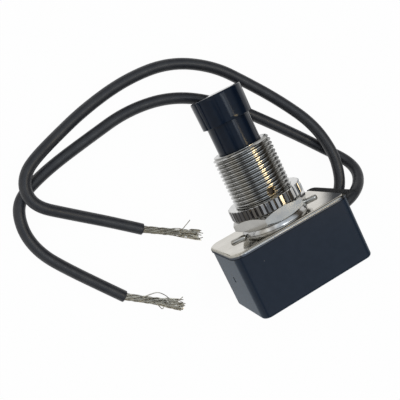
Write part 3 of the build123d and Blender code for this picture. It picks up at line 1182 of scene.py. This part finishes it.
@dataclass
class Button:
    """The glossy button: a wide head, with a parting line and a nub of flash at its foot, on a stem."""

    low: float = 15.05
    high: float = 20.65
    base_radius: float = 5.1
    top_radius: float = 5.2
    edge: float = 0.22
    edge_steps: int = 5
    foot_edge: float = 0.10
    foot_steps: int = 3
    side_steps: int = 9
    crown: Profile = ((4.0, 0.0), (2.0, 0.01), (0.4, 0.015))
    peg_radius: float = 3.02
    peg_height: float = 3.62
    seam_turn: float = math.radians(-72.0)
    seam_depth: float = 0.12
    seam_width: float = 0.030
    notch_depth: float = 0.16
    nub_rise: float = 0.14
    nub_width: float = 0.05
    foot_span: Span = (0.5, 1.1)
    side_margin: float = 0.12
    steps: int = 240

    def profile(self) -> list[Span]:
        """Give the head's profile from its socket round the outside to the middle of its top.

        Returns:
            Radius and place of each corner.
        """
        corners = [(self.peg_radius, self.low + self.peg_height), (self.peg_radius, self.low)]
        foot = self.low + self.foot_edge
        for k in range(self.foot_steps + 1):
            angle = math.pi / 2.0 * k / self.foot_steps
            corners.append((self.base_radius - self.foot_edge * (1.0 - math.sin(angle)),
                            self.low + self.foot_edge * (1.0 - math.cos(angle))))
        for share in (k / self.side_steps for k in range(1, self.side_steps)):
            corners.append((self.base_radius + share * (self.top_radius - self.base_radius),
                            foot + share * (self.high - self.edge - foot)))
        for k in range(self.edge_steps + 1):
            angle = math.pi / 2.0 * k / self.edge_steps
            corners.append((self.top_radius - self.edge * (1.0 - math.cos(angle)),
                            self.high - self.edge * (1.0 - math.sin(angle))))
        return corners + [(radius, self.high - fall) for radius, fall in self.crown]

    def flaw(self, turn: float, along: float) -> float:
        """Give how far the moulding flaws move the head's side out.

        Args:
            turn: The angle around the axis.
            along: The place along the axis.

        Returns:
            The distance, inwards at the parting line with its notch and outwards at the nub opposite.
        """
        low, high = (self.low + place for place in self.foot_span)
        foot = 1.0 - smooth_step(low, high, along)
        off, far = (abs((turn - side + math.pi) % math.tau - math.pi)
                    for side in (self.seam_turn, self.seam_turn + math.pi))
        groove = (self.seam_depth + self.notch_depth * foot) * math.exp(-((off / self.seam_width) ** 2))
        return self.nub_rise * foot * math.exp(-((far / self.nub_width) ** 2)) - groove

    def build(self) -> None:
        """Make the head and dress the stem."""
        rings: Rings = []
        for radius, along in self.profile():
            on_side = radius > self.base_radius - self.side_margin
            rings.append([on_axis(radius + (self.flaw(turn, along) if on_side else 0.0), along, turn)
                          for turn in turns(self.steps)])
        draft = Draft()
        draft.add_rings(rings, close_ends=True)
        piece = draft.to_object("button_head", Crease.SOFT)
        settle(piece, BUTTON_FINISH, Body.BUTTON, Slot.BUTTON, "button_cap")
        dress_node("button_stem", BUTTON_FINISH)


@dataclass
class Lead:
    """An insulated lead that lies loose on the surface, with a cut end that the strands come out of."""

    node: str
    route: tuple[Point, ...]
    length: float
    diameter: float = 2.3
    line_steps: int = 10
    mouth_radius: float = 0.80
    mouth_depth: float = 0.8
    mouth_round: Span = (0.05, 0.03)
    floor_radius: float = 0.02
    lip: float = 0.06
    lip_round: Span = (0.02, 0.09)
    cut_tilt: float = 0.06
    sides: int = 28
    path: list[Vector] = field(default_factory=list)

    def draw_line(self) -> list[Vector]:
        """Read the lead's smooth line from a spline through its route.

        Returns:
            Points along the line in millimetres.
        """
        data = bpy.data.curves.new(self.node + "_line", "CURVE")
        data.dimensions = "3D"
        data.resolution_u = self.line_steps
        spline = data.splines.new("NURBS")
        spline.points.add(len(self.route) - 1)
        for point, place in zip(spline.points, self.route):
            point.co = (*place, 1.0)
        spline.order_u = 3
        spline.use_endpoint_u = True
        line = add_object(self.node + "_line", data)
        mesh = bpy.data.meshes.new_from_object(line)
        points = [vertex.co.copy() for vertex in mesh.vertices]
        bpy.data.objects.remove(line)
        bpy.data.meshes.remove(mesh)
        return points

    def cut_end(self, end: Matrix) -> Rings:
        """Draw the rounded, slightly slanted cut with the mouth for the strands.

        Args:
            end: The frame of the last ring.

        Returns:
            The rings of the cut, from the outside to the bottom of the mouth.
        """
        outer, mouth = self.diameter / 2.0, self.mouth_radius
        corners = ((outer, 0.0), (outer - self.lip_round[0], self.lip),
                   (outer - self.lip_round[1], 2.0 * self.lip),
                   (mouth + self.mouth_round[0], 2.0 * self.lip), (mouth, self.lip),
                   (mouth - self.mouth_round[1], -self.mouth_depth),
                   (self.floor_radius, -self.mouth_depth))
        rings: Rings = []
        for radius, rise in corners:
            places = [(radius * math.cos(turn), radius * math.sin(turn)) for turn in turns(self.sides)]
            rings.append([end @ Vector((x, y, rise + self.cut_tilt * x)) for x, y in places])
        return rings

    def build(self) -> Piece:
        """Make the lead.

        Returns:
            The piece.
        """
        self.path = self.draw_line()
        rings, end = sweep(self.path, [self.diameter / 2.0] * len(self.path), self.sides)
        draft = Draft()
        draft.add_rings(rings[:-1] + self.cut_end(end))
        draft.faces.append(tuple(reversed(range(self.sides))))
        piece = draft.to_object(self.node + "_sleeve", Crease.SOFT)
        return settle(piece, LEAD_FINISH, Body.BASE, Slot.LEAD, self.node)

    def declare(self, piece: Piece, strands: Piece) -> None:
        """Take the lead and its strands, and do nothing with them.

        Args:
            piece: The lead; not used.
            strands: Its bare strands; not used.
        """


@dataclass
class StrandBundle:
    """The bare strands at a lead's stripped end: a twisted rope of fine wires that frays to its tip.

    Shares are of the bundle's length.

    Attributes:
        strays: Corners of each stray wire.
        groups: Groups of wires, the first of them in the middle.
        tinned_span: Shares between which the thick tin thins out.
        hidden: How far the wires start inside the sleeve.
        reach: Shares that the shortest and the longest wire have.
        drift: Spread of the fraying across and up.
        kink_rates: How fast the kinks swing across and up.
        hold: Share where the rope opens, its half width before, and what the length and the fraying add.
    """

    node: str
    start: Point
    tip: Point
    strays: tuple[tuple[Point, ...], ...]
    seed: int
    groups: int = 7
    wires: int = 5
    wire_radius: float = 0.09
    tinned_radius: float = 0.13
    tinned_span: Span = (0.1, 0.55)
    group_radius: float = 0.45
    wire_orbit: float = 0.19
    lay: float = 13.0
    wire_lay: float = 6.0
    hidden: float = 0.7
    reach: Span = (0.93, 1.02)
    swell: float = 0.30
    swell_from: float = 0.25
    fray: float = 0.62
    fray_from: float = 0.45
    drift: Span = (1.0, 0.75)
    kink: Span = (0.1, 0.5)
    kink_size: float = 0.3
    kink_rates: Span = (1.3, 1.1)
    phases: Span = (0.0, 6.28)
    hold: tuple[float, float, float, float] = (0.2, 0.63, 0.37, 0.1)
    steps: int = 44
    stray_steps: int = 8
    sides: int = 6

    def wire_path(self, group: int, wire: int, chance: random.Random) -> list[Vector]:
        """Draw the line of one wire.

        Args:
            group: The wire's group in the rope.
            wire: Its number in the group.
            chance: Source of the fraying.

        Returns:
            Points of the line.
        """
        start, tip = Vector(self.start), Vector(self.tip)
        along = (tip - start).normalized()
        side = along.cross(Vector((0.0, 0.0, 1.0))).normalized()
        up = side.cross(along)
        span = (tip - start).length
        end = span * chance.uniform(*self.reach)
        drift = Vector([chance.gauss(0.0, spread) for spread in self.drift])
        kink, phase = chance.uniform(*self.kink), chance.uniform(*self.phases)
        orbit = 0.0 if group == 0 else self.group_radius
        open_from, tight, opened, frayed = self.hold
        points = []
        for k in range(self.steps):
            at = -self.hidden + (end + self.hidden) * k / (self.steps - 1)
            loose = smooth_step(self.fray_from, 1.0, at / span)
            swell = 1.0 + self.swell * smooth_step(self.swell_from, 1.0, at / span)
            big = math.tau * (group / (self.groups - 1) + at / self.lay)
            small = math.tau * (wire / self.wires - at / self.wire_lay)
            bend_x, bend_y = (phase + at * rate for rate in self.kink_rates)
            x = swell * (orbit * math.cos(big) + self.wire_orbit * math.cos(small))
            y = swell * (orbit * math.sin(big) + self.wire_orbit * math.sin(small))
            x += loose * (self.fray * drift.x + self.kink_size * kink * math.sin(bend_x))
            y += loose * (self.fray * drift.y + self.kink_size * kink * math.cos(bend_y))
            most = tight + opened * smooth_step(open_from, 1.0, at / span) + frayed * loose
            reach = math.hypot(x, y)
            if reach > most:
                x, y = x * most / reach, y * most / reach
            points.append(start + along * at + side * x + up * y)
        return points

    def radius_at(self, share: float) -> float:
        """Give a wire's radius, which the tin thickens near the sleeve, by its share of the length."""
        thin = smooth_step(*self.tinned_span, share)
        return self.tinned_radius + (self.wire_radius - self.tinned_radius) * thin

    def stray_path(self, corners: Sequence[Point]) -> list[Vector]:
        """Draw a smooth line through the corners of a stray wire.

        Args:
            corners: Points that the wire passes.

        Returns:
            Points of the line.
        """
        knots = [Vector(c) for c in corners]
        knots = [2 * knots[0] - knots[1], *knots, 2 * knots[-1] - knots[-2]]
        points = []
        for a, b, c, d in zip(knots, knots[1:], knots[2:], knots[3:]):
            for t in (k / self.stray_steps for k in range(self.stray_steps)):
                points.append(0.5 * (2 * b + (c - a) * t + (2 * a - 5 * b + 4 * c - d) * t ** 2
                                     + (3 * b - a - 3 * c + d) * t ** 3))
        return points + [knots[-2]]

    def build(self) -> Piece:
        """Make the bundle.

        Returns:
            The piece.
        """
        chance = random.Random(self.seed)
        draft = Draft()
        paths = [self.wire_path(g, w, chance) for g in range(self.groups) for w in range(self.wires)]
        paths += [self.stray_path(corners) for corners in self.strays]
        for path in paths:
            rings, _ = sweep(path, [self.radius_at(k / len(path)) for k in range(len(path))], self.sides)
            draft.add_rings(rings, close_ends=True)
        piece = draft.to_object(self.node + "_wires", Crease.SOFT)
        return settle(piece, STRAND_FINISH, Body.BASE, Slot.STRAND, self.node)


@dataclass
class Mechanism:
    """The inner pieces, with a return spring."""

    spring_low: float = -15.9
    spring_high: float = 1.7
    travel: float = 4.8
    coil: float = 2.5
    wire: float = 0.28
    wire_sides: int = 10
    coils: int = 9
    coil_steps: int = 28
    finishes: dict[str, Finish] = field(default_factory=lambda: {
        "insulating_card": CARD_FINISH, "thrust_washer": SPRING_FINISH, "contact_spider": CONTACT_FINISH,
        "terminal_1": CONTACT_FINISH, "terminal_2": CONTACT_FINISH, "ratchet_rotor": ROTOR_FINISH,
        "lead_1_core": STRAND_FINISH, "lead_2_core": STRAND_FINISH})

    def build(self) -> None:
        """Make the spring and dress the rest."""
        for node, finish in self.finishes.items():
            dress_node(node, finish)
        low, high = self.spring_low + self.wire, self.spring_high - self.wire
        count = self.coils * self.coil_steps
        path = [on_axis(self.coil, low + share * (high - low), math.tau * self.coils * share)
                for share in (k / count for k in range(count + 1))]
        rings, _ = sweep(path, [self.wire] * len(path), self.wire_sides)
        draft = Draft()
        draft.add_rings(rings, close_ends=True)
        spring = draft.to_object("spring_coil", Crease.SOFT)
        settle(spring, SPRING_FINISH, Body.BASE, Slot.SPRING, "return_spring")
        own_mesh(spring)


@dataclass
class Lamp:
    """A soft lamp that hangs in a direction from the switch and faces it, in metres and watts."""

    name: str
    towards: Point
    distance: float
    size: Span
    power: float
    colour: Colour

    def build(self, target: Vector) -> None:
        """Hang the lamp.

        Args:
            target: The point that it faces, in metres.
        """
        data = bpy.data.lights.new(self.name, "AREA")
        data.shape = "RECTANGLE"
        data.size, data.size_y = self.size
        data.energy = self.power
        data.color = self.colour
        lamp = add_object(self.name, data)
        direction = Vector(self.towards).normalized()
        lamp.location = target + direction * self.distance
        lamp.rotation_euler = direction.to_track_quat("Z", "Y").to_euler()


@dataclass(frozen=True)
class Tint:
    """A colour over part of the room.

    Attributes:
        colour: The colour.
        fades: For each edge of that part, the axis that it lies across, the places from -1 to 1 between
            which the colour comes or goes, and how much of it there is at each of them.
    """

    colour: Colour
    fades: tuple[tuple[str, Span, Span], ...]

    def share(self, board: NodeBoard) -> Socket:
        """Give how much of the colour there is in each direction."""
        shares = (board.spread(board.axis(board.place, axis), span, into, eased=True)
                  for axis, span, into in self.fades)
        return reduce(partial(board.reckon, "MULTIPLY"), shares)


@dataclass
class Surroundings:
    """The soft room around the switch: a warm left side, and tints that lie over it in order."""

    left: Colour = (0.80, 0.77, 0.71)
    right: Tint = Tint((0.12, 0.10, 0.08), (("X", (-0.35, 0.75), (0.0, 1.0)),))
    overhead: Tint = Tint((0.84, 0.91, 1.0), (("Z", (0.42, 0.80), (0.0, 1.0)),))
    patch: Tint = Tint((0.10, 0.10, 0.11), (
        ("X", (-0.80, -0.62), (0.0, 1.0)), ("X", (-0.52, -0.34), (1.0, 0.0)),
        ("Z", (0.30, 0.50), (0.0, 0.85))))
    button_wall: Tint = Tint((0.0, 0.0, 0.0), (("Y", (0.45, 0.90), (0.0, 0.40)),))
    housing_wall: Tint = Tint((0.0, 0.0, 0.0), (("Y", (-0.90, -0.45), (0.70, 0.0)),))
    horizon: Tint = Tint((0.985, 0.985, 0.98), (("Z", (0.03, 0.12), (1.0, 0.0)),))

    def build(self) -> bpy.types.World:
        """Make the world.

        Returns:
            The world.
        """
        world = bpy.data.worlds.new("studio")
        world.use_nodes = True
        board = NodeBoard(world.node_tree, "Generated")
        room: Socket | Colour = self.left
        for tint in (self.right, self.overhead, self.patch, self.button_wall, self.housing_wall,
                     self.horizon):
            room = board.blend(tint.share(board), room, tint.colour)
        board.fill(world.node_tree.nodes["Background"], {"Color": room})
        return world


@dataclass
class Studio:
    """The pale floor, the lamps, the surroundings and the camera.

    Sizes of the floor, the camera's near limit and the lamps' target are in metres.
    """

    eye: Point = (-37.6087, 23.4398, 119.6403)
    forward: Point = (0.22185, -0.16778, -0.96054)
    up: Point = (0.46758, 0.88274, -0.04620)
    lens: float = 54.8624
    sensor: float = 36.0
    near: float = 0.005
    floor_half: float = 3.0
    floor_level: float = -2e-5
    floor_tone: Colour = (0.9, 0.9, 0.9)
    floor_gloss: float = 0.9
    floor_white: float = 0.97
    target: Point = (0.0, 0.0, 0.008)
    surroundings: Surroundings = field(default_factory=Surroundings)
    lamps: tuple[Lamp, ...] = (
        Lamp("cool_strip", (0.055, 0.03, 0.995), 0.34, (0.075, 0.040), 0.036, (0.86, 0.93, 1.0)),
        Lamp("cool_softbox", (0.22, 0.03, 0.975), 0.34, (0.075, 0.080), 0.042, (0.86, 0.93, 1.0)),
        Lamp("warm_strip", (0.41, -0.150, 0.90), 0.34, (0.030, 0.100), 0.110, (1.0, 0.77, 0.40)),
        Lamp("left_fill", (-0.62, 0.35, 0.70), 0.40, (0.30, 0.30), 0.16, (1.0, 0.97, 0.93)),
    )

    def lay_floor(self) -> None:
        """Lay the floor, which looks white but keeps a soft shadow."""
        half = self.floor_half
        corners = ((-half, -half), (half, -half), (half, half), (-half, half))
        mesh = bpy.data.meshes.new("floor")
        mesh.from_pydata([(x, y, self.floor_level) for x, y in corners], [], [(0, 1, 2, 3)])
        board = MaterialBoard("floor_white")
        board.fill(board.shader, {"Base Color": self.floor_tone, "Roughness": self.floor_gloss,
                                  "Specular IOR Level": 0.0})
        glow = board.node("Emission", {"Color": (1.0, 1.0, 1.0)}).outputs["Emission"]
        rays = board.node("LightPath").outputs
        seen = board.reckon("MAXIMUM", rays["Is Camera Ray"], rays["Is Glossy Ray"])
        seen = board.reckon("MAXIMUM", seen, rays["Is Transmission Ray"])
        white = board.reckon("MULTIPLY", seen, self.floor_white)
        mix = board.node("MixShader", {"Fac": white, 1: board.shader.outputs["BSDF"], 2: glow})
        board.fill(board.output, {"Surface": mix.outputs["Shader"]})
        mesh.materials.append(board.material)
        add_object("floor", mesh)

    def light(self) -> None:
        """Set the surroundings and hang the lamps."""
        bpy.context.scene.world = self.surroundings.build()
        for lamp in self.lamps:
            lamp.build(Vector(self.target))

    def aim(self) -> None:
        """Set the camera where the photograph was taken from."""
        data = bpy.data.cameras.new("camera")
        data.lens = self.lens
        data.sensor_width = self.sensor
        data.clip_start = self.near
        forward, up = Vector(self.forward).normalized(), Vector(self.up)
        right = forward.cross(up).normalized()
        turn = Matrix((right, right.cross(forward), -forward)).transposed()
        camera = add_object("camera", data)
        camera.matrix_world = Matrix.Translation(Vector(self.eye) * MM) @ turn.to_4x4()
        bpy.context.scene.camera = camera

    def build(self) -> None:
        """Set up everything that isn't part of the switch."""
        bpy.context.scene.view_settings.view_transform = "Standard"
        self.lay_floor()
        self.light()
        self.aim()
        LOG.info("studio set")


LEAD_1 = Lead("lead_1", (
    (10.4, -10.45, 5.34), (12.4, -10.45, 5.34), (14.9, -10.0, 5.3), (16.9, -8.4, 5.2), (18.2, -5.6, 5.0),
    (19.0, -1.2, 4.7), (17.9, 5.9, 3.8), (14.1, 13.1, 2.1), (9.7, 19.3, 1.2), (4.5, 25.5, 1.2),
    (-3.5, 30.0, 1.2), (-13.0, 30.6, 1.2), (-22.6, 28.9, 1.2), (-30.4, 26.4, 2.0), (-35.3, 24.6, 3.2),
    (-37.8, 23.1, 3.7), (-39.3, 20.9, 3.9), (-39.5, 18.3, 3.9), (-38.3, 16.0, 3.6), (-35.8, 13.8, 2.7),
    (-31.8, 10.4, 1.6), (-27.5, 6.8, 1.2), (-23.4, 3.2, 1.2)), length=118.0)
LEAD_2 = Lead("lead_2", (
    (10.4, -10.45, 10.54), (13.0, -10.45, 10.54), (16.8, -9.9, 9.8), (20.0, -8.8, 7.8),
    (22.0, -6.9, 5.2), (21.8, -4.3, 3.0), (19.3, -0.8, 1.6), (15.5, 4.1, 1.2), (9.8, 10.7, 1.2),
    (3.3, 17.8, 1.2), (-5.3, 23.6, 1.2), (-15.0, 25.2, 1.2), (-24.7, 23.6, 1.2), (-33.0, 22.1, 1.2),
    (-38.6, 20.4, 1.2), (-41.3, 18.9, 1.2), (-42.8, 16.4, 1.2), (-43.4, 12.4, 1.2), (-42.4, 8.0, 1.2),
    (-39.8, 3.6, 1.2), (-36.0, -2.0, 1.2), (-32.6, -6.9, 1.2)), length=122.7)
STRANDS_1 = StrandBundle("lead_1_strands", (-23.4, 3.2, 1.2), (-13.3, -3.6, 1.2), (
    ((-18.2, 0.3, 1.4), (-16.6, -0.6, 1.7), (-15.3, -0.2, 1.9), (-14.1, 0.35, 2.1)),
    ((-19.9, 0.2, 1.2), (-18.6, -0.8, 0.6), (-17.5, -1.7, 0.4), (-16.5, -2.1, 0.7)),
    ((-17.1, -1.6, 0.8), (-16.1, -2.4, 0.5), (-15.2, -3.0, 0.4), (-14.7, -3.0, 0.8)),
), seed=7)
STRANDS_2 = StrandBundle("lead_2_strands", (-32.6, -6.9, 1.2), (-22.9, -14.7, 1.2), (
    ((-30.0, -8.9, 1.4), (-28.3, -8.9, 2.0), (-26.6, -9.3, 2.2), (-25.5, -10.6, 2.0),
     (-24.9, -12.2, 1.4)),
    ((-25.2, -12.4, 1.5), (-24.3, -12.9, 1.8), (-23.4, -12.9, 2.0), (-22.5, -12.7, 2.2)),
    ((-28.9, -10.5, 0.9), (-27.6, -11.9, 0.5), (-27.2, -13.1, 0.4), (-26.8, -13.1, 0.6),
     (-26.5, -12.4, 0.9)),
    ((-27.2, -11.9, 0.7), (-26.2, -13.1, 0.5), (-25.2, -14.0, 0.4), (-24.0, -15.0, 0.4)),
), seed=11)


def main() -> None:
    """Build every sub-assembly, dress it and light it."""
    logging.basicConfig(level=logging.INFO, format="%(name)s: %(message)s")
    Studio().build()
    for lead, bundle in ((LEAD_1, STRANDS_1), (LEAD_2, STRANDS_2)):
        lead.declare(lead.build(), bundle.build())
    for assembly in (Housing, CoverPlate, PlateEndDarkSheet, ThreadedBushing, BackNut, RingNut, Button,
                     Mechanism):
        assembly().build()


if __name__ == "__main__":
    main()
